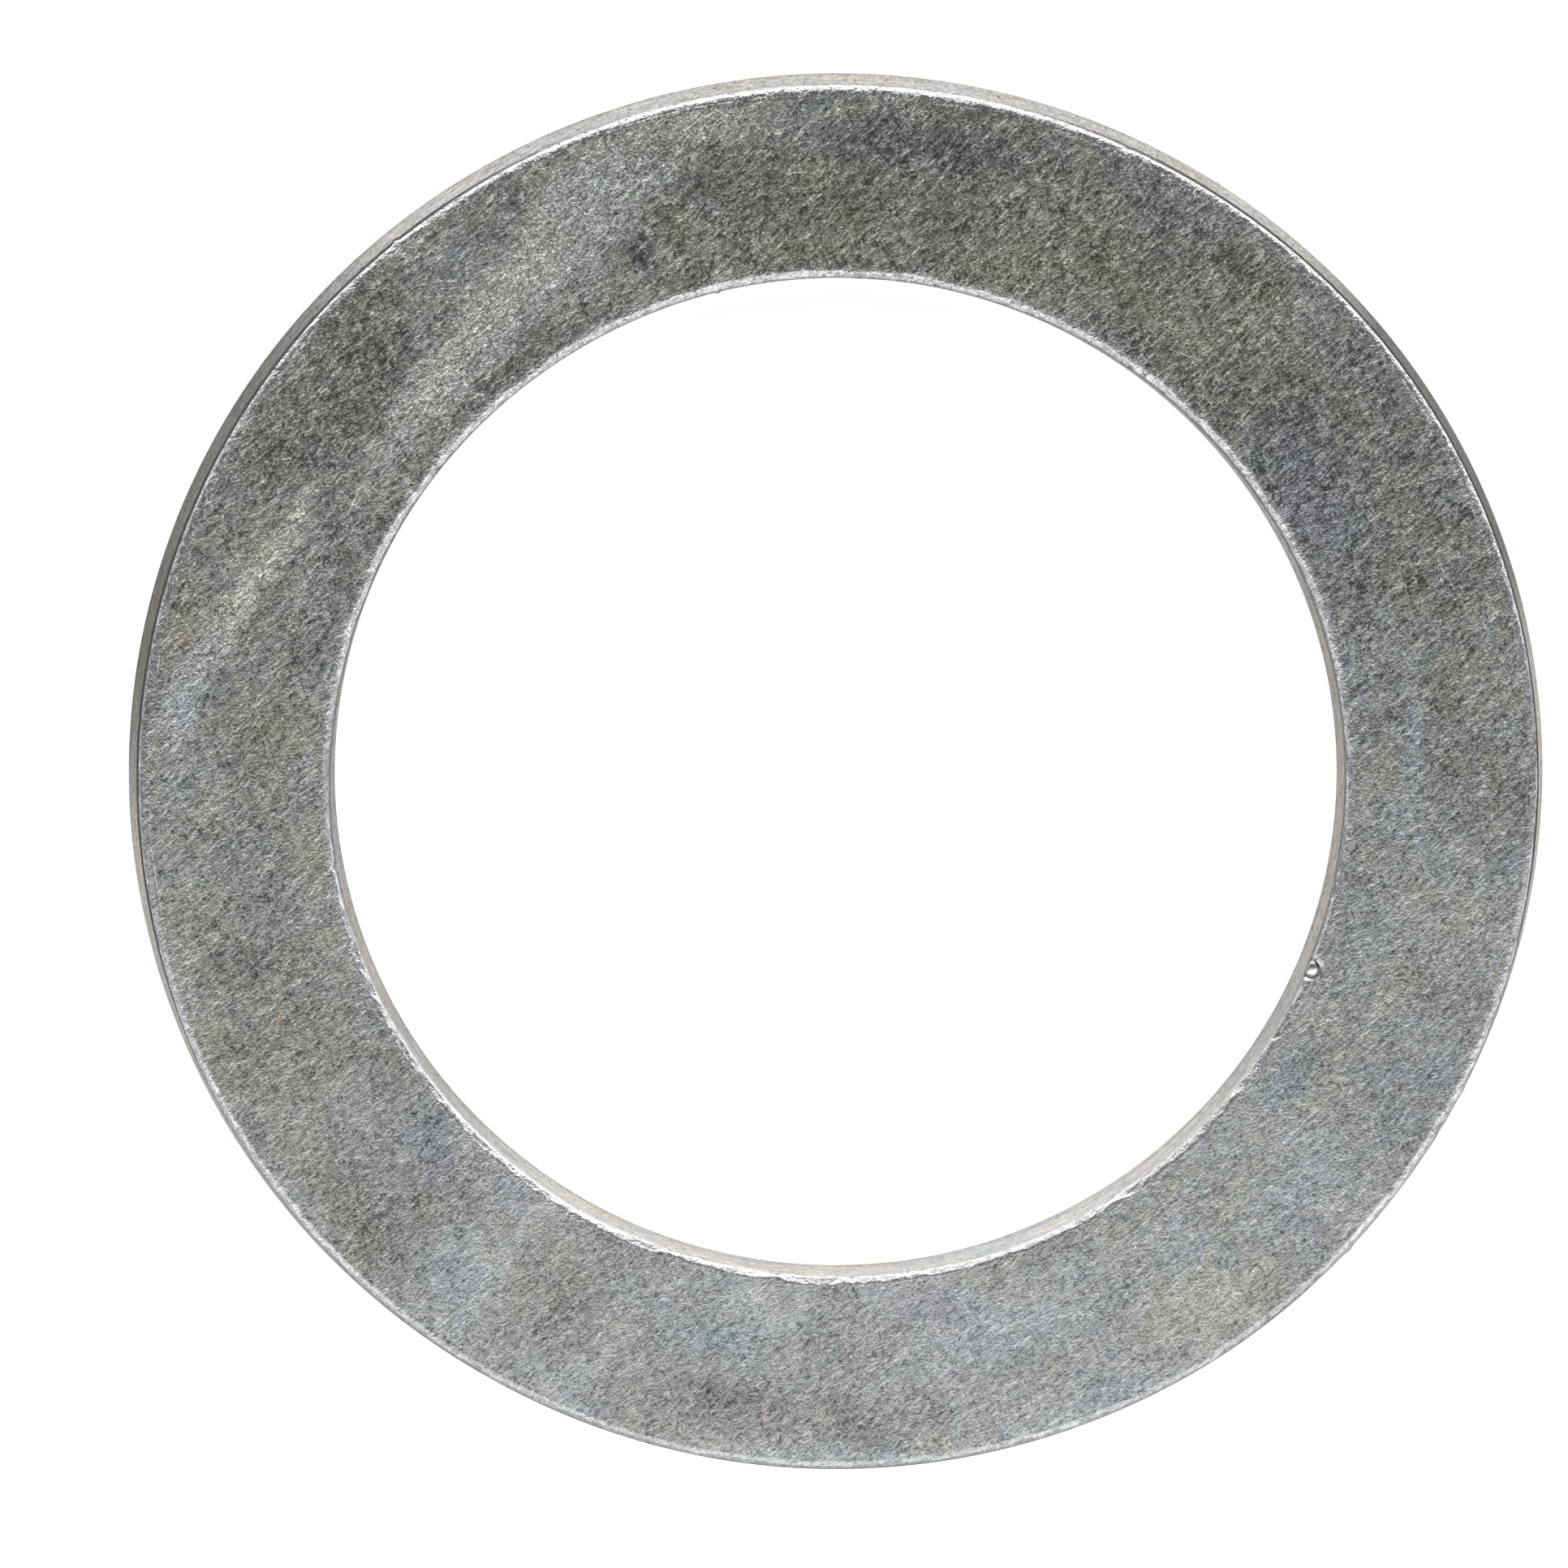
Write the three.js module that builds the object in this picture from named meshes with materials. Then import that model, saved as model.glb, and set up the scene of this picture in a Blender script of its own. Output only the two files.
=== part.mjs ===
// Flat washer: one punched ring of zinc-plated steel, lying flat.
// Millimetres, +Z up along the hole's axis, origin at the centre of the lower face.

import * as THREE from 'three';

// Driving dimensions
const outerDiameter = 35;      // widest, at the foot of the outer wall
const boreDiameter = 24.8;     // narrowest, at the foot of the hole's wall
const thickness = 1;
const outerWallLean = 0.16;    // how far the outer wall steps in from its foot to its top
const boreWallLean = 0.12;     // how far the hole opens from its foot to its top
const rollWidth = 0.18;        // rounded upper edges, across the face
const rollDepth = 0.15;        // rounded upper edges, down the wall
const footBreak = 0.04;        // broken lower edges
const ringSegments = 160;      // facets round the ring
const rollSegments = 4;        // facets across each rounded edge

const outerFootRadius = outerDiameter / 2;
const outerTopRadius = outerFootRadius - outerWallLean;
const boreFootRadius = boreDiameter / 2;
const boreTopRadius = boreFootRadius + boreWallLean;

// Quarter-ellipse from the top of a wall to the upper face, as (radius, height) points.
// acrossFace is -1 where the face lies towards the axis from the wall, and +1 where it lies outwards.
function rolledEdge(wallRadius, acrossFace) {
  const points = [];
  for (let step = 0; step <= rollSegments; step += 1) {
    const angle = (step / rollSegments) * (Math.PI / 2);
    const radius = wallRadius + acrossFace * rollWidth * (1 - Math.cos(angle));
    const height = thickness - rollDepth * (1 - Math.sin(angle));
    points.push(new THREE.Vector2(radius, height));
  }
  return points;
}

// Section of the ring as (radius, height) points, counter-clockwise and closed on itself.
function ringSection() {
  const start = new THREE.Vector2(boreFootRadius + footBreak, 0);
  return [
    start,
    new THREE.Vector2(outerFootRadius - footBreak, 0),
    new THREE.Vector2(outerFootRadius, footBreak),
    ...rolledEdge(outerTopRadius, -1),
    ...rolledEdge(boreTopRadius, 1).reverse(),
    new THREE.Vector2(boreFootRadius, footBreak),
    start.clone(),
  ];
}

function makeWasher() {
  const geometry = new THREE.LatheGeometry(ringSection(), ringSegments);
  geometry.rotateX(Math.PI / 2);
  const zincPlate = new THREE.MeshStandardMaterial({
    color: 0x9a9c96,
    roughness: 0.42,
    metalness: 1,
  });
  const washer = new THREE.Mesh(geometry, zincPlate);
  washer.name = 'washer';
  return washer;
}

const part = new THREE.Group();
part.add(makeWasher());

export default part;
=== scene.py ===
import math

import bpy
import numpy as np
from mathutils import Matrix, Vector


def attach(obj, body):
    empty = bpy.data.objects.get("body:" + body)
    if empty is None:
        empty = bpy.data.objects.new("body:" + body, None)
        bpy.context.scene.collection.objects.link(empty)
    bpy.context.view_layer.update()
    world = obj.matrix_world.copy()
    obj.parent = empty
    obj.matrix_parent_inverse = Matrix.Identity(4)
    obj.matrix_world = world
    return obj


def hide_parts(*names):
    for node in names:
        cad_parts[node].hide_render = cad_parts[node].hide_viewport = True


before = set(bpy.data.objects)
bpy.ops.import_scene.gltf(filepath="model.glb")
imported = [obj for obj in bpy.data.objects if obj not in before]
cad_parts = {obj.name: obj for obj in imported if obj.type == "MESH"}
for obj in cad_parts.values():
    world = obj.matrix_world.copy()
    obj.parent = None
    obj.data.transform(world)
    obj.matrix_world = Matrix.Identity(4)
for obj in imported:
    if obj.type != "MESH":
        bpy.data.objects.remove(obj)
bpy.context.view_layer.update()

MM = 0.001
RNG = np.random.default_rng(352510)

# ---------------------------------------------------------------- section of the ring
# Lengths with MM are in metres, the others in mm. Angles are in degrees, counter-clockwise from +X.
FACETS = 1800            # steps round the ring
EDGE_DEPTH = 0.15 * MM   # rounded upper edges, down the wall
EDGE_WIDTH = 0.18 * MM   # and across the face, as the CAD solid has them
FOOT_BREAK = 0.04 * MM   # broken lower edges
# Rounded upper edge as (inset from the wall, drop below the face): a tight turn at the wall, a round
# shoulder, then a shallow slope where the punch drew the sheet down.
EDGE_SHAPE = ((0.0, 0.15), (0.010, 0.110), (0.028, 0.083), (0.046, 0.066), (0.070, 0.047), (0.095, 0.032),
              (0.122, 0.021), (0.152, 0.013), (0.185, 0.007), (0.215, 0.004))
# The punch broke through more abruptly at the bore.
BORE_EDGE_SHAPE = ((0.0, 0.15), (0.012, 0.112), (0.032, 0.085), (0.055, 0.066), (0.080, 0.048),
                   (0.105, 0.031), (0.130, 0.016), (0.149, 0.007), (0.172, 0.002), (0.215, 0.001))
CORNER_WIDTH = 0.034     # painted shade line where the wall turns over
RIM_END, RIM_FADE = 0.30, 0.17     # where the bright edge ends, and over what width it fades out
# Unevenness of an edge: how large it is, at what inset it is strongest and how far it spreads.
DRIFT = 0.007
DRIFT_FULL_AT = 0.03
SHOULDER_AT, SHOULDER_SPREAD = 0.12, 0.07
SWELL, SWELL_AT, SWELL_SPREAD = 0.007, 0.07, 0.05
SWELL_LOWERED = 0.6      # keeps most of the swelling below the edge's own shape
KNOCK_REACH = 0.12
KNOCK_FLAT = 0.2         # share of a knock's half width that is pushed the whole way
# Unevenness of a wall, coarse and fine.
WALL_WAVE, WALL_GRAIN = 0.007, 0.004
WALL_STEPS = (0.25, 0.55, 0.85)    # rows between foot and edge, as shares of the wall's height
# Knocks in the upper edges: angle, half width in degrees, and how far outwards.
OUTER_KNOCKS = ((126.5, 0.35, 0.05), (-18.4, 0.30, -0.07), (-21.0, 0.25, -0.05), (63.0, 0.40, -0.03),
                (-29.5, 0.90, 0.03), (-33.0, 0.60, -0.07), (-45.5, 0.50, 0.03), (-49.0, 0.40, -0.06))
INNER_KNOCKS = ((187.6, 0.40, 0.06), (-90.7, 0.35, 0.05), (101.0, 0.30, -0.04))

# Values that change round the ring: a base, then arcs as (start, end, softness, amount).
# The blank was sheared a little askew, so the upper edges stray from the foot's circles.
ASKEW_SHIFT = 0.03
OUTER_STRAY = (0.0, ((125, 175, 30, -0.03), (265, 320, 40, 0.035), (205, 300, 20, 0.03)))
INNER_STRAY = (0.0, ((125, 155, 25, -0.03), (190, 235, 20, 0.06), (290, 380, 20, 0.04)))
# Painted shade: how dark the line is made where the wall turns over.
OUTER_CORNER = (1.0, ((78, 102, 22, -0.90), (210, 330, 25, -0.55)))
INNER_CORNER = (0.65, ((205, 320, 20, -0.65), (60, 120, 25, -0.25)))
# Painted shade on the walls: how dark they are made round the ring.
OUTER_WALL_SHADE = (0.08, ((17, 36, 12, 0.60), (142, 167, 20, 0.60)))
INNER_WALL_SHADE = (0.03, ((-30, 10, 25, 0.22), (170, 215, 20, 0.22)))
# How far the shoulder strays.
OUTER_TEETH = (0.012, ((190, 350, 30, 0.016), (305, 345, 15, 0.016)))
INNER_TEETH = (0.028, ())
# How bright the shoulder is rubbed.
OUTER_POLISH = (0.60, ((25, 140, 25, 0.35), (198, 220, 15, 0.28), (320, 345, 15, 0.28)))
INNER_POLISH = (0.66, ((20, 160, 25, 0.34), (190, 235, 15, 0.20)))
# How wide the rounded edge is against its shape.
OUTER_STRETCH = (1.0, ())
INNER_STRETCH = (1.0, ((20, 160, 25, 0.22),))
# Where the fine step at the end of the outer slope is plain to see.
CREASE_SHOWN = (0.0, ((15, 180, 25, 1.0),))
CREASE_INSET = 0.27
CREASE_DROP = 0.003      # where the step is broken off
CREASE_WANDER = 0.035
CREASE_WHOLE, CREASE_BREAKS = 0.65, 0.9    # how much of the step is left on average, and how that varies
# The step as (inset from CREASE_INSET, drop below the face, brightness of the painted highlight along it).
CREASE_SHAPE = ((-0.044, 0.004, 0.0), (-0.022, 0.014, 0.9), (0.012, 0.0, 1.0), (0.040, 0.002, 0.0))

# The upper face runs between these insets from the two walls, with rows at these shares.
FACE_INSET_OUT, FACE_INSET_IN = 0.36, 0.31
FACE_SHARES = (0.0, 0.03, *np.linspace(0.08, 0.92, 9), 0.95, 0.965, 0.98, 0.99, 1.0)
LOWER_FACE_SHARES = np.linspace(0, 1, 5)

# Zinc bead grown on the inner edge, with a moat pressed into the face round it.
BEAD_AT = (11.53, -5.28)
BEAD_RADIUS = 0.20
BEAD_HEIGHT = 0.09
BEAD_BRIGHT = 0.9
BEAD_GLOW = 0.12         # how far past the bead the face is bright
MOAT_DEPTH, MOAT_GAP, MOAT_SPREAD = 0.07, 0.03, 0.06
BEAD_REACH_DOWN = 0.1    # rows further below the face than this aren't moved
BEAD_SMOOTH = (0.36, 0.26)                 # from its centre, where the micro texture fades out
BEAD_OUTLINE_FADE, BEAD_OUTLINE_SHARE = (0.05, 0.01), 0.85
GLINT_GAP, GLINT_FADE = 0.09, (0.05, 0.02)
GLINT_TOWARDS, GLINT_RANGE = (0.6, -0.8, 0), (0.02, 0.14)

solid = np.array([vertex.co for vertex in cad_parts["washer"].data.vertices])
corner_radii = np.hypot(solid[:, 0], solid[:, 1])
TOP = float(solid[:, 2].max())
on_face = solid[:, 2] > TOP - 0.001 * MM
FOOT_OUT = float(corner_radii.max()) - 0.0001 * MM
FOOT_IN = float(corner_radii.min())
WALL_OUT = float(corner_radii[on_face].max()) + EDGE_WIDTH
WALL_IN = float(corner_radii[on_face].min()) - EDGE_WIDTH

ANGLES = np.arange(FACETS) * (2 * math.pi / FACETS)


def ring_noise(bumps, octaves=3, fade=0.5):
    """Smooth random curve round the ring, mostly within -1 to 1, with about this many bumps."""
    total = np.zeros(FACETS)
    size = 1.0
    for octave in range(octaves):
        count = bumps * 2 ** octave
        values = RNG.uniform(-1, 1, count)
        at = ANGLES / (2 * math.pi) * count
        low = np.floor(at).astype(int)
        share = at - low
        share = share * share * (3 - 2 * share)
        total += size * (values[low % count] * (1 - share) + values[(low + 1) % count] * share)
        size *= fade
    return total


def arc(start, end, soft):
    """1 between two angles round the ring, falling to 0 over soft, all in degrees."""
    middle, half = (start + end) / 2, (end - start) / 2
    away = np.abs((np.degrees(ANGLES) - middle + 180) % 360 - 180)
    share = np.clip((half + soft - away) / soft, 0, 1)
    return share * share * (3 - 2 * share)


def around(base, arcs):
    """A value round the ring: a base, and an amount added along each arc."""
    total = np.full(FACETS, float(base))
    for start, end, soft, amount in arcs:
        total += amount * arc(start, end, soft)
    return total


def bell(at, middle, spread):
    """1 at the middle, falling to 0 on both sides."""
    return math.exp(-((at - middle) / spread) ** 2)


def upper_wall_radius(radius, stray):
    """Radius round the ring at which a wall would meet the upper face."""
    return radius + (ASKEW_SHIFT * np.cos(ANGLES) + around(*stray)) * MM


class Section:
    """Rows of points round the ring, with how far each belongs to an edge or a wall, and how much painted
    shade it has.
    """

    def __init__(self):
        self.radius = []
        self.height = []
        self.edge = []
        self.wall = []
        self.painted_shade = []

    def row(self, radius, height, edge=0.0, wall=0.0, painted_shade=0.0):
        flat = np.zeros(FACETS)
        self.radius.append(flat + radius)
        self.height.append(flat + height)
        self.edge.append(flat + edge)
        self.wall.append(flat + wall)
        self.painted_shade.append(flat + painted_shade)


def lower_face_rows():
    low, high = FOOT_IN + FOOT_BREAK, FOOT_OUT - FOOT_BREAK
    return [(low + (high - low) * share, 0.0) for share in LOWER_FACE_SHARES]


def wall_rows(foot, wall_top_radius, wall_shade):
    """Foot and wall, from the bottom up, with wall_shade as the wall's painted shade round the ring."""
    rows = [(foot, FOOT_BREAK, 0.0, 1.0, wall_shade)]
    wall_top = TOP - EDGE_DEPTH
    coarse, fine = ring_noise(30), ring_noise(240)
    for share in WALL_STEPS:
        radius = foot + (wall_top_radius - foot) * share
        rough = (WALL_WAVE * coarse + WALL_GRAIN * fine) * MM * math.sin(math.pi * share)
        rows.append((radius + rough, FOOT_BREAK + (wall_top - FOOT_BREAK) * share, 0.0, 1.0, wall_shade))
    return rows


def knocked(knocks):
    """How far outwards the knocks push an upper edge, round the ring, in mm."""
    push = np.zeros(FACETS)
    for angle, half, outwards in knocks:
        push += outwards * arc(angle - half * KNOCK_FLAT, angle + half * KNOCK_FLAT, half)
    return push


def edge_rows(wall_radius, inwards, shape, knocks, painted_shade, teeth, polish, stretch):
    """Rounded upper edge, wall to face. inwards is -1 where the face lies towards the axis.

    painted_shade, teeth, polish and stretch go round the ring: how dark the painted shade line is where
    the wall turns over, how far the shoulder strays in mm, how bright it is rubbed and how wide it is
    against the shape."""
    beads = ring_noise(420, octaves=2, fade=0.7)
    ragged = ring_noise(120, octaves=3, fade=0.9)
    drift = ring_noise(40)
    rows = []
    for inset, drop in shape:
        shift = DRIFT * drift + teeth * ragged * bell(inset, SHOULDER_AT, SHOULDER_SPREAD)
        inset_here = inset * stretch + shift * min(1.0, inset / DRIFT_FULL_AT)
        push = knocked(knocks) * bell(inset, 0.0, KNOCK_REACH)
        radius = wall_radius + (inwards * inset_here + push) * MM
        swell = SWELL * MM * (beads - SWELL_LOWERED) * bell(inset, SWELL_AT, SWELL_SPREAD)
        edge = min(1.0, max(0.0, (RIM_END - inset) / RIM_FADE)) * polish
        wall = 1.0 if inset == 0.0 else 0.0
        rows.append((radius, TOP - drop * MM + swell, edge, wall, painted_shade if inset < CORNER_WIDTH else 0.0))
    return rows


def crease_rows(wall_radius, inwards, shown):
    """Fine step at the end of the slope, shown from 0 to 1 round the ring, with a painted highlight along
    it.
    """
    wander = CREASE_WANDER * ring_noise(25, octaves=4, fade=0.6)
    broken = np.clip(CREASE_WHOLE + CREASE_BREAKS * ring_noise(90, octaves=4, fade=0.8), 0, 1) * shown
    rows = []
    for step, drop, lit in CREASE_SHAPE:
        radius = wall_radius + inwards * (CREASE_INSET + step + wander * shown) * MM
        height = TOP - (CREASE_DROP + (drop - CREASE_DROP) * broken) * MM
        rows.append((radius, height, lit * broken, 0.0))
    return rows


def upper_face_rows(outer_wall, inner_wall):
    outer, inner = outer_wall - FACE_INSET_OUT * MM, inner_wall + FACE_INSET_IN * MM
    return [(outer + (inner - outer) * share, TOP) for share in FACE_SHARES]


def add_bead(points, edge):
    """Presses a moat into the face and leaves a round bead standing in it."""
    away = np.hypot(points[..., 0] - BEAD_AT[0] * MM, points[..., 1] - BEAD_AT[1] * MM) / MM
    upper = points[..., 2] > TOP - BEAD_REACH_DOWN * MM
    dome = np.clip(1 - (away / BEAD_RADIUS) ** 2, 0, 1)
    moat = np.exp(-((away - BEAD_RADIUS - MOAT_GAP) / MOAT_SPREAD) ** 2)
    on_bead = TOP - BEAD_HEIGHT * MM * (1 - np.sqrt(dome))
    level = np.where(dome > 0, on_bead, points[..., 2] - MOAT_DEPTH * MM * moat)
    points[..., 2] = np.where(upper, np.minimum(level, TOP), points[..., 2])
    near = upper & (away < BEAD_RADIUS + BEAD_GLOW)
    edge[:] = np.maximum(edge, np.where(near, BEAD_BRIGHT, 0.0))


def ring_section():
    section = Section()
    outer = upper_wall_radius(WALL_OUT, OUTER_STRAY)
    inner = upper_wall_radius(WALL_IN, INNER_STRAY)
    outside = wall_rows(FOOT_OUT, outer, around(*OUTER_WALL_SHADE))
    outside += edge_rows(outer, -1, EDGE_SHAPE, OUTER_KNOCKS, around(*OUTER_CORNER),
                         around(*OUTER_TEETH), around(*OUTER_POLISH), around(*OUTER_STRETCH))
    outside += crease_rows(outer, -1, around(*CREASE_SHOWN))
    inside = wall_rows(FOOT_IN, inner, around(*INNER_WALL_SHADE))
    inside += edge_rows(inner, 1, BORE_EDGE_SHAPE, INNER_KNOCKS, around(*INNER_CORNER),
                        around(*INNER_TEETH), around(*INNER_POLISH), around(*INNER_STRETCH))
    for row in lower_face_rows() + outside + upper_face_rows(outer, inner) + inside[::-1]:
        section.row(*row)
    return section


def ring_mesh(name, section):
    radius = np.array(section.radius)
    height = np.array(section.height)
    edge = np.array(section.edge)
    rows = len(radius)
    points = np.stack([radius * np.cos(ANGLES), radius * np.sin(ANGLES), height], axis=2)
    add_bead(points, edge)
    row, step = np.meshgrid(np.arange(rows), np.arange(FACETS), indexing="ij")
    next_row, next_step = (row + 1) % rows, (step + 1) % FACETS
    quads = np.stack([row * FACETS + step, row * FACETS + next_step,
                      next_row * FACETS + next_step, next_row * FACETS + step], axis=2)
    mesh = bpy.data.meshes.new(name)
    mesh.from_pydata(points.reshape(-1, 3).tolist(), [], quads.reshape(-1, 4).tolist())
    mesh.update()
    for layer, values in (("edge", edge), ("wall", np.array(section.wall)),
                          ("painted_shade", np.array(section.painted_shade))):
        attribute = mesh.attributes.new(layer, "FLOAT", "POINT")
        attribute.data.foreach_set("value", values.ravel().astype(np.float32))
    mesh.shade_smooth()
    piece = bpy.data.objects.new(name, mesh)
    bpy.context.scene.collection.objects.link(piece)
    return piece


# ---------------------------------------------------------------- marks on the upper face
# Both ends and the width, in mm. Bands and patches add how much lighter they are and their tint. The bands
# are painted reflections: streaks of sheen across the face.
SHEEN_BANDS = (((-2.9, 17.6), (-11.5, 7.8), 2.3, 0.50, (0.334, 0.347, 0.343)),
         ((-5.7, 14.8), (-10.8, 8.8), 1.2, 0.62, (0.350, 0.348, 0.316)),
         ((-0.9, 17.3), (-6.8, 15.8), 1.9, 0.52, (0.343, 0.348, 0.325)),
         ((-15.6, 3.7), (-12.3, 8.2), 0.80, 0.58, (0.354, 0.346, 0.318)),
         ((-16.8, 1.2), (-14.9, 4.9), 1.0, 0.38, (0.331, 0.343, 0.353)))
# Later patches lie over earlier ones. They are partly painted shade and painted reflections, partly the
# plating's own tone.
PATCHES = (  # a pale flank and three dark spots
           ((14.4, 2.6), (14.2, -2.7), 0.8, 0.12, (0.312, 0.343, 0.372)),
           ((-4.6, 13.0), (-3.8, 13.5), 0.90, -0.38, (0.320, 0.345, 0.350)),
           ((13.0, 4.5), (13.2, 3.9), 0.50, -0.40, (0.330, 0.340, 0.350)),
           ((-0.15, -12.60), (-0.20, -12.95), 0.14, -0.75, (0.330, 0.340, 0.350)),
           # broad areas
           ((-4.5, 14.2), (9.5, 13.8), 6.5, -0.14, (0.346, 0.343, 0.298)),
           ((5.0, 15.0), (16.8, 2.5), 6.5, -0.14, (0.345, 0.343, 0.296)),
           ((-15.4, 6.5), (-9.3, 13.2), 3.6, -0.25, (0.345, 0.343, 0.308)),
           ((-15.5, -2.5), (-9.5, -12.0), 4.5, -0.18, (0.350, 0.344, 0.312)),
           ((-11.5, -9.0), (2.5, -13.6), 2.0, -0.03, (0.318, 0.336, 0.368)),
           ((-9.0, -14.5), (7.0, -15.0), 5.0, -0.08, (0.330, 0.340, 0.345)),
           # narrower ones inside them
           ((-15.6, 9.2), (-12.6, 12.4), 0.9, 0.10, (0.325, 0.345, 0.365)),
           ((11.8, -12.6), (6.0, -14.9), 2.6, 0.0, (0.350, 0.344, 0.312)),
           ((14.4, -9.2), (11.8, -12.2), 0.8, 0.0, (0.352, 0.336, 0.318)),
           ((-10.9, -7.6), (-10.0, -10.0), 1.6, -0.06, (0.300, 0.330, 0.385)),
           ((-5.4, -13.5), (-2.2, -14.3), 1.4, 0.08, (0.305, 0.345, 0.370)),
           ((-8.6, -9.8), (-5.2, -12.3), 1.0, 0.05, (0.340, 0.340, 0.340)),
           ((0.2, -13.5), (3.4, -13.2), 1.5, -0.04, (0.320, 0.330, 0.362)),
           ((10.8, 9.4), (13.0, 4.0), 3.6, -0.04, (0.304, 0.328, 0.386)),
           ((-0.8, 13.5), (3.2, 13.2), 1.5, 0.14, (0.345, 0.343, 0.305)),
           ((-1.6, 16.4), (6.4, 15.2), 1.6, -0.19, (0.318, 0.336, 0.355)),
           ((5.9, 13.6), (9.9, 9.9), 2.0, 0.14, (0.350, 0.343, 0.292)),
           ((9.6, 13.1), (12.0, 11.0), 1.4, -0.20, (0.345, 0.343, 0.300)),
           ((15.0, 2.4), (15.1, -1.8), 1.6, -0.14, (0.344, 0.340, 0.322)),
           ((15.2, -3.0), (14.4, -7.2), 2.4, 0.0, (0.352, 0.340, 0.326)),
           ((11.7, -6.8), (10.0, -9.2), 1.6, -0.07, (0.308, 0.343, 0.372)),
           ((6.4, -13.8), (0.8, -14.6), 2.8, 0.14, (0.320, 0.343, 0.360)),
           ((5.6, -12.3), (3.0, -13.3), 1.3, 0.12, (0.333, 0.343, 0.350)),
           ((-10.9, 8.2), (-4.6, 12.8), 1.4, -0.14, (0.343, 0.343, 0.318)),
           ((1.6, -16.5), (-6.4, -15.2), 1.9, -0.20, (0.348, 0.338, 0.326)),
           ((-0.6, -13.5), (-5.6, -12.4), 1.8, 0.16, (0.328, 0.340, 0.352)),
           ((-6.0, -13.8), (-9.2, -12.2), 3.8, -0.11, (0.346, 0.341, 0.324)),
           ((-10.2, -13.6), (-16.8, -4.4), 1.8, -0.10, (0.354, 0.342, 0.307)),
           ((-10.4, -10.0), (-13.0, -6.8), 2.6, 0.17, (0.322, 0.341, 0.356)),
           ((-14.6, -5.0), (-15.4, -1.4), 4.6, -0.23, (0.344, 0.342, 0.325)),
           ((-16.4, -1.0), (-15.8, 4.0), 1.4, 0.04, (0.320, 0.343, 0.366)),
           ((-13.3, 2.4), (-11.8, 6.6), 1.6, -0.09, (0.335, 0.342, 0.335)))
SCRATCHES = (((-16.68, -3.73), (-15.66, -3.47), 0.05), ((15.03, 4.90), (15.54, 3.92), 0.05),
             ((-11.32, 8.03), (-11.80, 7.07), 0.08), ((-11.97, 7.83), (-11.43, 7.26), 0.07),
             ((-2.28, 13.80), (-1.90, 13.56), 0.08), ((-3.70, 14.74), (-3.27, 14.50), 0.06),
             ((-12.82, -3.89), (-12.14, -3.53), 0.09), ((10.34, -9.94), (12.12, -8.28), 0.06),
             ((9.15, -13.35), (9.42, -13.59), 0.05), ((5.72, 14.43), (6.17, 15.18), 0.05),
             ((6.20, 14.60), (6.88, 15.05), 0.05), ((8.67, 10.39), (9.60, 10.02), 0.06),
             ((10.67, 10.46), (11.24, 10.62), 0.05), ((-10.57, -13.04), (-10.20, -13.29), 0.06))
SMEAR = ((-11.50, 11.70), (-11.20, 11.95), 0.30)
# Rust specks, with their colour.
SPECKS = (((-10.93, 13.27), (-10.87, 13.33), 0.11, (0.20, 0.09, 0.04)),
          ((-14.07, -5.39), (-13.99, -5.34), 0.10, (0.62, 0.36, 0.18)))
# How softly a mark ends and how soft its sides are, as shares of it, and how much a band tapers.
BAND_EASE = (0.45, 0.55, 0.58)
PATCH_EASE = (0.6, 0.8)
SMEAR_EASE = (0.7, 0.7)
BAND_TINTING, PATCH_TINTING = 0.75, 0.6     # how much of its own tint a mark takes
SCRATCH_LIGHT = 0.55
BAND_LIGHT, BAND_CRACKLE = 1.45, -1.3       # a band's painted sheen, less in the cracks between cells

# ---------------------------------------------------------------- micro texture of the plating
# Strokes: direction in degrees, squeeze along and across, scale, roughness and strength.
STROKES = ((44, (0.43, 1.45, 1.0), 6.8, 0.70, 1.60),
           (15, (0.50, 1.45, 1.0), 6.4, 0.65, 1.05),
           (108, (0.50, 1.45, 1.0), 7.4, 0.65, 1.05))
GRAIN_SCALE, GRAIN_STRENGTH = 16.0, 1.30
# Threads: direction, squeeze, scale, half width, the noise level they start at, and strength.
THREADS = ((42, (0.26, 1.0, 1.0), 7.5, 0.060, 0.50, 0.48),
           (120, (0.40, 1.0, 1.0), 7.5, 0.060, 0.50, 0.26),
           (0, (1.0, 1.0, 1.0), 8.0, 0.070, 0.47, -0.50))
RELIEF_OFFSET = -0.18    # darkens the ground, most where the relief is strong. The levels make up for it
RELIEF_BEND = -0.07      # lightens less and darkens more
# How strong the relief is, as (low, high, strength at low, strength at high) of a noise and of Y in mm.
# The rise towards +Y is partly painted light and shade: in the colour it stands for the harder contrast
# the light gives on the near side.
STRENGTH_BY_PATCH = (0.35, 0.65, 0.90, 1.12)
STRENGTH_BY_Y = (-16.0, 14.0, 0.78, 1.40)
EDGE_SMOOTH = 0.22       # how much of the relief the rounded edge loses
# Noises that push coordinates about: scale, detail and reach in mm.
STROKE_WARP = (3.0, 1.0, 0.08)
MARK_WARP = (1.8, 4.0, 0.9)
CELL_WARP = (5.0, 2.0, 0.22)
CELL_SCALE, CELL_CRACK = 8.0, (0.17, 0.02)

# ---------------------------------------------------------------- colours
OLIVE, BLUE = (0.347, 0.343, 0.298, 1), (0.320, 0.343, 0.358, 1)
PINK, GREEN = (1.035, 1.0, 1.0, 1), (0.965, 1.0, 0.99, 1)
WARM_WALL, COOL_WALL = (0.60, 0.568, 0.505, 1), (0.54, 0.555, 0.56, 1)
RIM = (0.37, 0.38, 0.385)
BURNISHED = (0.55, 0.55, 0.56)
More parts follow.
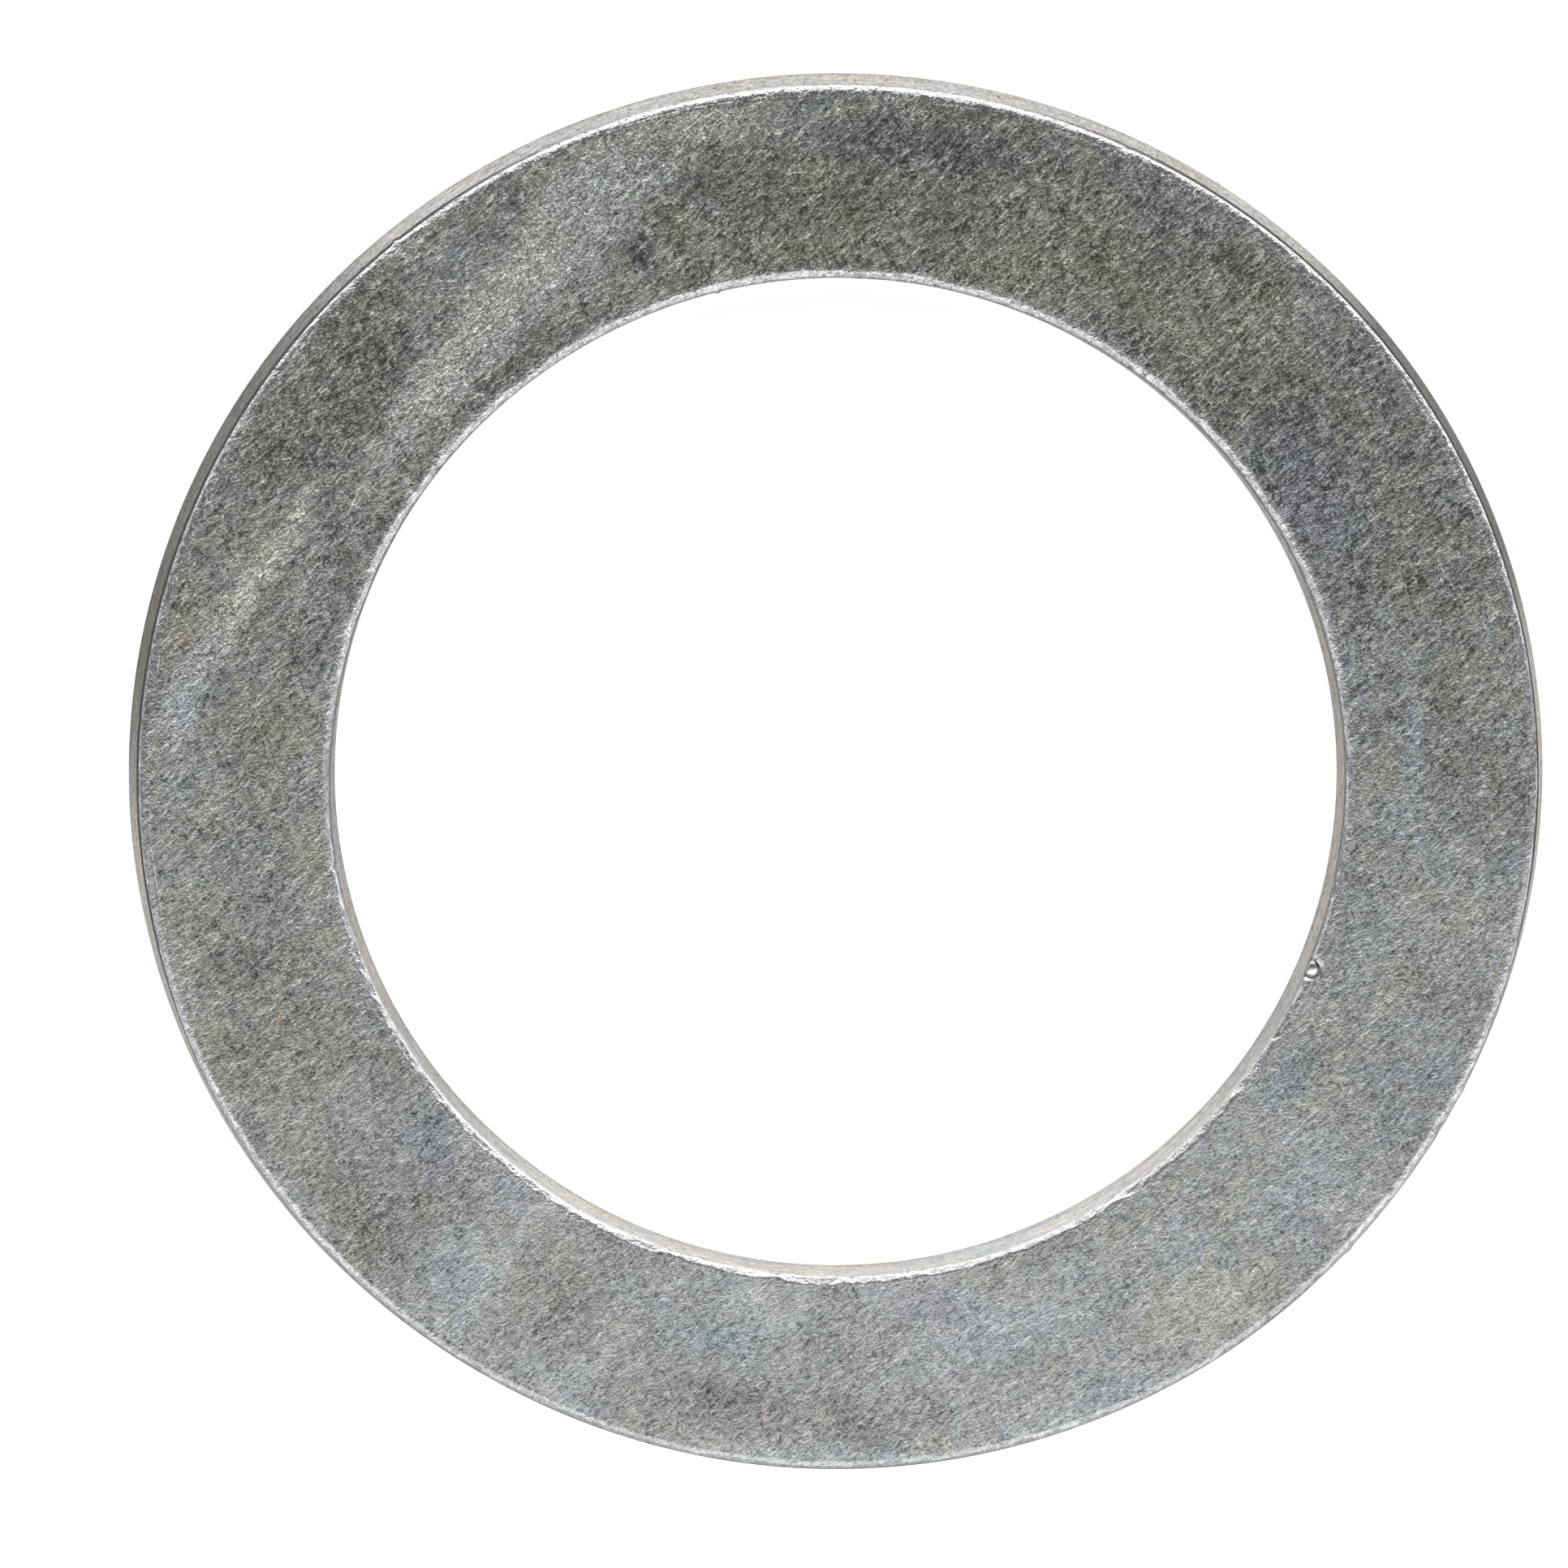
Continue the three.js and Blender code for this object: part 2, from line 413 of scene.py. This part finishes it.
# painted shade for the walls and for the line where they turn over
CORNER_SHADOW = (0.10, 0.095, 0.085, 1)
# painted shade round the bead, and a painted highlight in its moat
BEAD_OUTLINE = (0.13, 0.10, 0.085, 1)
BEAD_GLINT = (0.60, 0.65, 0.68, 1)
TINT_STEP = (0.38, 0.62)     # range of a noise over which one tint turns into the other
WALL_TINT_STEP = (0.4, 0.6)
# Noises of the colours: scale, detail and roughness.
CLOUDS = (0.7, 7.0, 0.9)
BLUSH = (0.9, 7.0, 0.9)
REGIONS = (0.25, 1.0)
SOFT = (1.6, 3.0, 0.7)
BROAD = (0.30, 2.0, 0.6)
WALL_CLOUDS = (0.9, 3.0)
WALL_STREAKS = (1.6, 3.0)
WALL_SQUEEZE = (0.5, 0.5, 4.0)       # lays the wall's clouds flat
# What makes the face cooler besides the clouds: the two noises' swings, and per mm of X and Y.
COOL_REGIONS, COOL_SOFT, COOL_BY_X, COOL_BY_Y = 0.30, -0.10, 0.001, -0.003
MOTTLE_SOFT, MOTTLE_BROAD = 0.5, 0.8
MOTTLE_IN_BAND = -0.8                # a full band shows this much less of the mottle
DARKEST = 0.22
# How bright each surface is where the relief is 0, and how much of the relief its colour takes.
FACE_LEVEL, FACE_RELIEF = 1.13, 0.86
RIM_LEVEL, RIM_RELIEF, RIM_MOTTLE = 1.10, 0.60, 0.7
BURNISHED_LEVEL, BURNISHED_RELIEF = 1.11, 0.60
WALL_LEVEL, WALL_RELIEF, WALL_STREAK = 1.08, 0.40, 0.6
# Share of an edge at which the face has turned into the rim, and the rim starts to turn burnished.
RIM_SHARE = 0.45
# Roughness of the flat face, and what the relief, the edges and the walls add.
ROUGHNESS, ROUGH_RELIEF, ROUGH_EDGE, ROUGH_WALL = 0.43, -0.06, -0.10, 0.15
SPECULAR_TINT = 0.08
BUMP_HEIGHT = 0.010 * MM


class Graph:
    """Short names for the shader nodes that the plating uses. Inputs are sockets or plain values."""

    def __init__(self, material):
        material.use_nodes = True
        self.tree = material.node_tree
        self.shader = self.tree.nodes["Principled BSDF"]

    def node(self, kind, **settings):
        node = self.tree.nodes.new(kind)
        for name, setting in settings.items():
            setattr(node, name, setting)
        return node

    def feed(self, socket, value):
        if isinstance(value, bpy.types.NodeSocket):
            self.tree.links.new(value, socket)
        elif value is not None:
            socket.default_value = value

    def math(self, operation, first, second=None):
        node = self.node("ShaderNodeMath", operation=operation)
        self.feed(node.inputs[0], first)
        self.feed(node.inputs[1], second)
        return node.outputs[0]

    def add(self, first, *others):
        for other in others:
            first = self.math("ADD", first, other)
        return first

    def times(self, first, second):
        return self.math("MULTIPLY", first, second)

    def swing(self, value, amount):
        """A 0 to 1 value moved to swing either side of 0."""
        return self.times(self.math("SUBTRACT", value, 0.5), amount)

    def distance(self, value, target):
        return self.math("ABSOLUTE", self.math("SUBTRACT", value, target))

    def vector(self, operation, first, second, output=0):
        node = self.node("ShaderNodeVectorMath", operation=operation)
        self.feed(node.inputs[0], first)
        self.feed(node.inputs[1], second)
        return node.outputs[output]

    def scaled(self, vector, factor):
        node = self.node("ShaderNodeVectorMath", operation="SCALE")
        self.feed(node.inputs[0], vector)
        self.feed(node.inputs["Scale"], factor)
        return node.outputs[0]

    def axes(self, vector):
        """The X and Y of a vector."""
        node = self.node("ShaderNodeSeparateXYZ")
        self.feed(node.inputs[0], vector)
        return node.outputs[0], node.outputs[1]

    def attribute(self, name):
        return self.node("ShaderNodeAttribute", attribute_name=name).outputs["Fac"]

    def turned(self, vector, degrees, squeeze):
        """Coordinates turned about Z, then scaled along the new axes."""
        turn = self.node("ShaderNodeMapping")
        turn.inputs["Rotation"].default_value = (0, 0, math.radians(-degrees))
        self.feed(turn.inputs["Vector"], vector)
        return self.vector("MULTIPLY", turn.outputs[0], squeeze)

    def noise(self, vector, scale, detail=2.0, roughness=0.5, output="Fac"):
        node = self.node("ShaderNodeTexNoise")
        self.feed(node.inputs["Vector"], vector)
        for name, setting in (("Scale", scale), ("Detail", detail), ("Roughness", roughness)):
            node.inputs[name].default_value = setting
        return node.outputs[output]

    def warped(self, vector, scale, detail, reach):
        """Coordinates pushed about by a noise."""
        noise = self.noise(vector, scale, detail, output="Color")
        shift = self.vector("SUBTRACT", noise, (0.5, 0.5, 0.5))
        return self.vector("ADD", vector, self.scaled(shift, reach))

    def span(self, value, low, high, to_low=0.0, to_high=1.0):
        """Eased step of a value from low to high. low may be the larger."""
        node = self.node("ShaderNodeMapRange", interpolation_type="SMOOTHSTEP")
        for name, setting in (("Value", value), ("From Min", low), ("From Max", high),
                              ("To Min", to_low), ("To Max", to_high)):
            self.feed(node.inputs[name], setting)
        return node.outputs[0]

    def mix(self, share, first, second):
        node = self.node("ShaderNodeMix", data_type="RGBA")
        self.feed(node.inputs["Factor"], share)
        for name, colour in (("A", first), ("B", second)):
            socket = [s for s in node.inputs if s.name == name and s.type == "RGBA"][0]
            self.feed(socket, colour)
        return [s for s in node.outputs if s.type == "RGBA"][0]

    def cell_walls(self, vector, scale):
        """Distance to the nearest wall between irregular cells."""
        node = self.node("ShaderNodeTexVoronoi", feature="DISTANCE_TO_EDGE")
        self.feed(node.inputs["Vector"], vector)
        node.inputs["Scale"].default_value = scale
        return node.outputs["Distance"]

    def bump(self, height, distance):
        node = self.node("ShaderNodeBump")
        node.inputs["Strength"].default_value = 1.0
        node.inputs["Distance"].default_value = distance
        self.feed(node.inputs["Height"], height)
        return node.outputs[0]


def threads(graph, place, scale, width, seed, kept):
    """Thin curled lines along one level of a noise, broken into short lengths. 0 to 1."""
    moved = graph.vector("ADD", place, (seed * 7.3, seed * 3.1, 0))
    field = graph.noise(moved, scale, detail=1.0)
    line = graph.span(graph.distance(field, 0.5), width, 0.0)
    lengths = graph.noise(graph.vector("ADD", moved, (19.0, 5.0, 0)), scale * 0.9, detail=0.0)
    return graph.times(line, graph.span(lengths, kept, kept + 0.10))


def mark(graph, place, start, end, width, soft_ends=0.5, soft_sides=0.5, taper=0.0):
    """1 along a straight mark between two points of the face, in mm, eased off at its rim.

    With a taper of 0 to 1 it narrows from start to end."""
    run, rise = end[0] - start[0], end[1] - start[1]
    local = graph.node("ShaderNodeMapping", vector_type="TEXTURE")
    local.inputs["Location"].default_value = ((start[0] + end[0]) / 2, (start[1] + end[1]) / 2, 0)
    local.inputs["Rotation"].default_value = (0, 0, math.atan2(rise, run))
    local.inputs["Scale"].default_value = (math.hypot(run, rise) / 2, width / 2, 1)
    graph.feed(local.inputs["Vector"], place)
    along, across = graph.axes(local.outputs[0])
    narrowing = graph.add(graph.times(along, taper), 1.0)
    along = graph.span(graph.math("ABSOLUTE", along), 1.0, 1.0 - soft_ends)
    across = graph.times(graph.math("ABSOLUTE", across), narrowing)
    return graph.times(along, graph.span(across, 1.0, 1.0 - soft_sides))


def plating_relief(graph, place):
    """Felt-like micro texture of the blasted and plated sheet: strokes, grain, threads and cracks."""
    bent = graph.warped(place, *STROKE_WARP)
    layers = []
    for degrees, squeeze, scale, roughness, strength in STROKES:
        stroke = graph.noise(graph.turned(bent, degrees, squeeze), scale, roughness=roughness)
        layers.append(graph.swing(stroke, strength))
    grain = graph.noise(place, GRAIN_SCALE, detail=1.0, roughness=0.6)
    layers.append(graph.swing(grain, GRAIN_STRENGTH))
    for seed, (degrees, squeeze, scale, width, kept, strength) in enumerate(THREADS, start=1):
        line = threads(graph, graph.turned(bent, degrees, squeeze), scale, width, seed, kept)
        layers.append(graph.times(line, strength))
    uneven = graph.add(*layers, RELIEF_OFFSET)
    uneven = graph.times(uneven, graph.add(graph.times(uneven, RELIEF_BEND), 1.0))
    patchy = graph.span(graph.noise(place, 1.1), *STRENGTH_BY_PATCH)
    # Partly painted light and shade: the relief's contrast in the colour rises towards +Y.
    stronger_near = graph.span(graph.axes(place)[1], *STRENGTH_BY_Y)
    return graph.times(graph.times(uneven, patchy), stronger_near)


def face_colour(graph, place, relief, soft, mottle):
    """Upper face: cloudy olive and blue grey, with bands of painted reflection, patches that are partly
    painted shade and light and partly tone, scratches and specks.
    """
    x, y = graph.axes(place)
    clouds = graph.noise(place, *CLOUDS)
    regions = graph.noise(graph.vector("ADD", place, (80, 0, 0)), *REGIONS)
    cool = graph.add(clouds, graph.swing(regions, COOL_REGIONS), graph.swing(soft, COOL_SOFT),
                     graph.times(y, COOL_BY_Y), graph.times(x, COOL_BY_X))
    tint = graph.mix(graph.span(cool, *TINT_STEP), OLIVE, BLUE)

    feathered = graph.warped(place, *MARK_WARP)
    sheen = 0.0
    shade = 0.0
    # Painted reflections: the bands lighten the face as a sheen.
    for start, end, width, lighter, colour in SHEEN_BANDS:
        band = mark(graph, feathered, start, end, width, *BAND_EASE)
        sheen = graph.math("MAXIMUM", sheen, graph.times(band, lighter))
        tint = graph.mix(graph.times(band, BAND_TINTING), tint, (*colour, 1))
    # Patches: partly painted shade and painted reflections, partly the plating's own tone.
    for start, end, width, lighter, colour in PATCHES:
        patch = mark(graph, feathered, start, end, width, *PATCH_EASE)
        shade = graph.add(graph.times(patch, lighter), shade)
        tint = graph.mix(graph.times(patch, PATCH_TINTING), tint, (*colour, 1))
    scratched = mark(graph, place, *SMEAR, *SMEAR_EASE)
    for scratch in SCRATCHES:
        scratched = graph.math("MAXIMUM", scratched, mark(graph, place, *scratch))

    blush = graph.noise(graph.vector("ADD", place, (40, 0, 0)), *BLUSH)
    tint = graph.vector("MULTIPLY", tint, graph.mix(graph.span(blush, *TINT_STEP), PINK, GREEN))
    crackle = graph.span(graph.cell_walls(graph.warped(place, *CELL_WARP), CELL_SCALE), *CELL_CRACK)
    band_light = graph.times(sheen, graph.add(graph.times(crackle, BAND_CRACKLE), BAND_LIGHT))
    mottle_left = graph.add(graph.times(sheen, MOTTLE_IN_BAND), 1.0)
    light = graph.add(graph.times(relief, FACE_RELIEF), graph.times(mottle, mottle_left), band_light,
                      shade, graph.times(scratched, SCRATCH_LIGHT), FACE_LEVEL)
    colour = graph.scaled(tint, graph.math("MAXIMUM", light, DARKEST))
    for start, end, width, rust in SPECKS:
        colour = graph.mix(mark(graph, place, start, end, width), colour, (*rust, 1))
    return colour


def edge_colours(graph, relief, mottle):
    """The rim of the face, and the burnished shoulder."""
    rim_light = graph.add(graph.times(mottle, RIM_MOTTLE), graph.times(relief, RIM_RELIEF), RIM_LEVEL)
    burnished_light = graph.add(graph.times(relief, BURNISHED_RELIEF), BURNISHED_LEVEL)
    return graph.scaled(RIM, rim_light), graph.scaled(BURNISHED, burnished_light)


def wall_colour(graph, place, relief):
    """The walls, in flat clouds of warm and cool grey."""
    banded = graph.vector("MULTIPLY", place, WALL_SQUEEZE)
    clouds = graph.span(graph.noise(banded, *WALL_CLOUDS), *WALL_TINT_STEP)
    tint = graph.mix(clouds, WARM_WALL, COOL_WALL)
    streaks = graph.swing(graph.noise(banded, *WALL_STREAKS), WALL_STREAK)
    return graph.scaled(tint, graph.add(streaks, graph.times(relief, WALL_RELIEF), WALL_LEVEL))


def bead_colour(graph, beside_bead, away, colour):
    """Adds the bead's dark outline of painted shade, and a painted glint in the moat at its lower right.
    """
    outline = graph.span(graph.distance(away, BEAD_RADIUS), *BEAD_OUTLINE_FADE)
    colour = graph.mix(graph.times(outline, BEAD_OUTLINE_SHARE), colour, BEAD_OUTLINE)
    along = graph.vector("DOT_PRODUCT", beside_bead, GLINT_TOWARDS, "Value")
    lower_right = graph.span(along, *GLINT_RANGE)
    crescent = graph.span(graph.distance(away, BEAD_RADIUS + GLINT_GAP), *GLINT_FADE)
    return graph.mix(graph.times(crescent, lower_right), colour, BEAD_GLINT)


def zinc_material():
    material = bpy.data.materials.new("zinc_plate")
    graph = Graph(material)
    shader = graph.shader
    coordinates = graph.node("ShaderNodeTexCoord")
    place = graph.scaled(coordinates.outputs["Object"], 1 / MM)
    edge, wall, painted_shade = graph.attribute("edge"), graph.attribute("wall"), graph.attribute("painted_shade")

    beside_bead = graph.vector("SUBTRACT", place, (*BEAD_AT, 0))
    away = graph.vector("LENGTH", graph.vector("MULTIPLY", beside_bead, (1, 1, 0)), None, "Value")
    smooth = graph.math("MAXIMUM", graph.times(edge, EDGE_SMOOTH), graph.span(away, *BEAD_SMOOTH))
    relief = graph.times(plating_relief(graph, place), graph.math("SUBTRACT", 1.0, smooth))
    soft = graph.noise(place, *SOFT)
    broad = graph.noise(place, *BROAD)
    mottle = graph.add(graph.swing(soft, MOTTLE_SOFT), graph.swing(broad, MOTTLE_BROAD))

    rim, burnished = edge_colours(graph, relief, mottle)
    colour = face_colour(graph, place, relief, soft, mottle)
    colour = graph.mix(graph.span(edge, 0.0, RIM_SHARE), colour, rim)
    colour = graph.mix(graph.span(edge, RIM_SHARE, 1.0), colour, burnished)
    colour = bead_colour(graph, beside_bead, away, colour)
    colour = graph.mix(wall, colour, wall_colour(graph, place, relief))
    # Painted shade: darkens the walls and the line where they turn over.
    colour = graph.mix(painted_shade, colour, CORNER_SHADOW)
    graph.feed(shader.inputs["Base Color"], colour)

    roughness = graph.add(graph.times(relief, ROUGH_RELIEF), graph.times(edge, ROUGH_EDGE),
                          graph.times(wall, ROUGH_WALL), ROUGHNESS)
    graph.feed(shader.inputs["Roughness"], roughness)
    shader.inputs["Metallic"].default_value = 1.0
    shader.inputs["Specular Tint"].default_value = (SPECULAR_TINT, SPECULAR_TINT, SPECULAR_TINT, 1)
    graph.feed(shader.inputs["Normal"], graph.bump(relief, BUMP_HEIGHT))
    return material


# ---------------------------------------------------------------- camera, floor and light
CAMERA_ELEVATION = math.radians(80.23)
CAMERA_ROLL = math.radians(2.54)
CAMERA_DISTANCE = 0.700
VIEW_WIDTH = 38.82 * MM       # what the frame takes in at the ring
AIM_RIGHT = -1.281 * MM       # from the ring's centre to the middle of the frame
AIM_UP = -0.282 * MM
FLOOR_HALF = 4.0
FLOOR_HEIGHT = -0.02 * MM
FLOOR_GREY = 0.86
FLOOR_GLOW = 0.50
WORLD_GREY = 0.02


def add_camera():
    """The near side of the ring, towards +Y, is at the top of the frame."""
    sine, cosine = math.sin(CAMERA_ELEVATION), math.cos(CAMERA_ELEVATION)
    turn, slant = math.cos(CAMERA_ROLL), math.sin(CAMERA_ROLL)
    right = Vector((turn, -sine * slant, cosine * slant))
    up = Vector((slant, sine * turn, -cosine * turn))
    back = Vector((0, cosine, sine))
    data = bpy.data.cameras.new("camera")
    data.sensor_width = 36
    data.lens = data.sensor_width * CAMERA_DISTANCE / VIEW_WIDTH
    data.clip_start, data.clip_end = 0.01, 10
    camera = bpy.data.objects.new("camera", data)
    place = right * AIM_RIGHT + up * AIM_UP + back * CAMERA_DISTANCE
    axes = Matrix((right, up, back)).transposed().to_4x4()
    camera.matrix_world = Matrix.Translation(place) @ axes
    bpy.context.scene.collection.objects.link(camera)
    bpy.context.scene.camera = camera


def add_floor():
    mesh = bpy.data.meshes.new("floor")
    corners = [(x * FLOOR_HALF, y * FLOOR_HALF, 0) for x, y in ((-1, -1), (1, -1), (1, 1), (-1, 1))]
    mesh.from_pydata(corners, [], [(0, 1, 2, 3)])
    floor = bpy.data.objects.new("floor", mesh)
    floor.location.z = FLOOR_HEIGHT
    material = bpy.data.materials.new("floor")
    material.use_nodes = True
    shader = material.node_tree.nodes["Principled BSDF"]
    shader.inputs["Base Color"].default_value = (FLOOR_GREY, FLOOR_GREY, FLOOR_GREY, 1)
    shader.inputs["Roughness"].default_value = 0.9
    shader.inputs["Emission Color"].default_value = (1, 1, 1, 1)
    shader.inputs["Emission Strength"].default_value = FLOOR_GLOW
    mesh.materials.append(material)
    bpy.context.scene.collection.objects.link(floor)


# Soft boxes round the ring: name, place, size, radiance and the point each faces, in metres.
PANELS = (
    ("near_low", (0, 0.40, 0.06), (0.90, 0.10), 6.2, (0, 0, 0)),
    ("near_mid", (0, 0.36, 0.24), (0.90, 0.24), 2.1, (0, 0, 0)),
    ("near_right", (0.34, 0.20, 0.07), (0.24, 0.12), 3.6, (0, 0, 0)),
    ("near_left", (-0.34, 0.20, 0.07), (0.24, 0.12), 1.3, (0, 0, 0)),
    ("far_low", (0, -0.40, 0.06), (0.90, 0.10), 0.9, (0, 0, 0)),
    ("right_low", (0.40, 0, 0.06), (0.60, 0.10), 2.3, (0, 0, 0)),
    ("left_low", (-0.40, 0, 0.06), (0.60, 0.10), 1.9, (0, 0, 0)),
    ("far_ceiling", (0, -0.10, 0.09), (0.24, 0.14), 2.20, (0, -0.10, 0)),
)


def add_panel(name, place, size, radiance, facing):
    """A soft rectangular light, sizes in metres, brightness as seen from the front."""
    data = bpy.data.lights.new(name, "AREA")
    data.shape = "RECTANGLE"
    data.size, data.size_y = size
    data.energy = radiance * math.pi * size[0] * size[1]
    panel = bpy.data.objects.new(name, data)
    panel.location = place
    panel.rotation_euler = (Vector(facing) - Vector(place)).to_track_quat("-Z", "Y").to_euler()
    panel.visible_camera = False
    bpy.context.scene.collection.objects.link(panel)


def add_world():
    world = bpy.data.worlds.new("studio")
    bpy.context.scene.world = world
    world.use_nodes = True
    background = world.node_tree.nodes["Background"]
    background.inputs["Color"].default_value = (WORLD_GREY, WORLD_GREY, WORLD_GREY, 1)


bpy.context.scene.view_settings.view_transform = "Standard"
add_camera()
add_floor()
add_world()
for panel in PANELS:
    add_panel(*panel)

ring = ring_mesh("ring", ring_section())
ring.data.materials.append(zinc_material())
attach(ring, "root")
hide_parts("washer")
